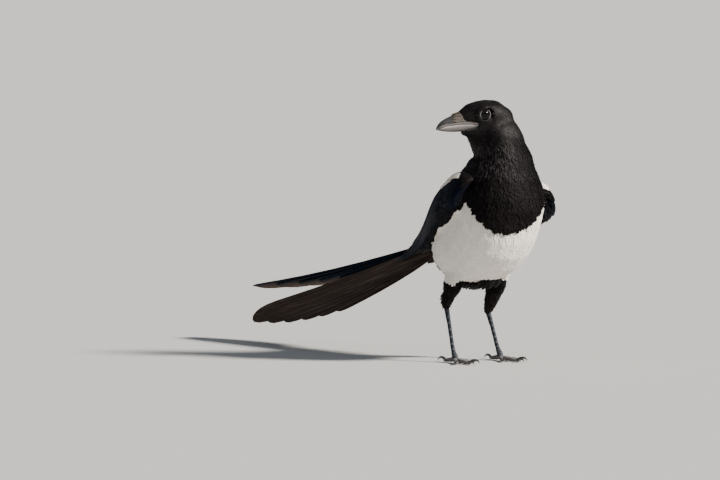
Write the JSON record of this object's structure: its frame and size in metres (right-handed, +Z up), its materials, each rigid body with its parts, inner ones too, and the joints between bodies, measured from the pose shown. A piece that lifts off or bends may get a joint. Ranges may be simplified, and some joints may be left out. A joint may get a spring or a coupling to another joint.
{
  "type": "eurasian magpie",
  "caption": "Life-size standing magpie with a black head and breast, white belly, folded blue-black wings and a long stepped tail, looking over its shoulder.",
  "frame": {"origin": "on the floor, under the middle of the whole outline from bill to tail tip", "axes": "+X the way the bird's body faces, +Y its left side, +Z up"},
  "size_m": [0.3782, 0.1182, 0.2307],
  "materials": {
    "black_plumage": "soft black feathers with a faint sheen",
    "white_plumage": "loose white feathers",
    "flight_feather": "smooth blue-black vanes with a dark gloss",
    "horn": "polished dark horn",
    "claw": "dark horn",
    "scales": "dark scaly skin",
    "eye": "wet dark brown"
  },
  "bodies": {
    "root": {"head": "black_plumage", "neck": "black_plumage", "breast": "black_plumage", "trunk": "white_plumage", "bill_upper": "horn", "bill_lower": "horn", "eye_right": "eye", "eye_left": "eye", "wing_right": "flight_feather", "wing_left": "flight_feather", "tail_right": "flight_feather", "tail_left": "flight_feather", "thigh_right": "black_plumage", "thigh_left": "black_plumage", "tarsus_right": "scales", "tarsus_left": "scales", "foot_right": "scales", "foot_left": "scales", "claw_right_middle": "claw", "claw_right_inner": "claw", "claw_right_outer": "claw", "claw_right_hind": "claw", "claw_left_middle": "claw", "claw_left_inner": "claw", "claw_left_outer": "claw", "claw_left_hind": "claw"}
  },
  "joints": []
}
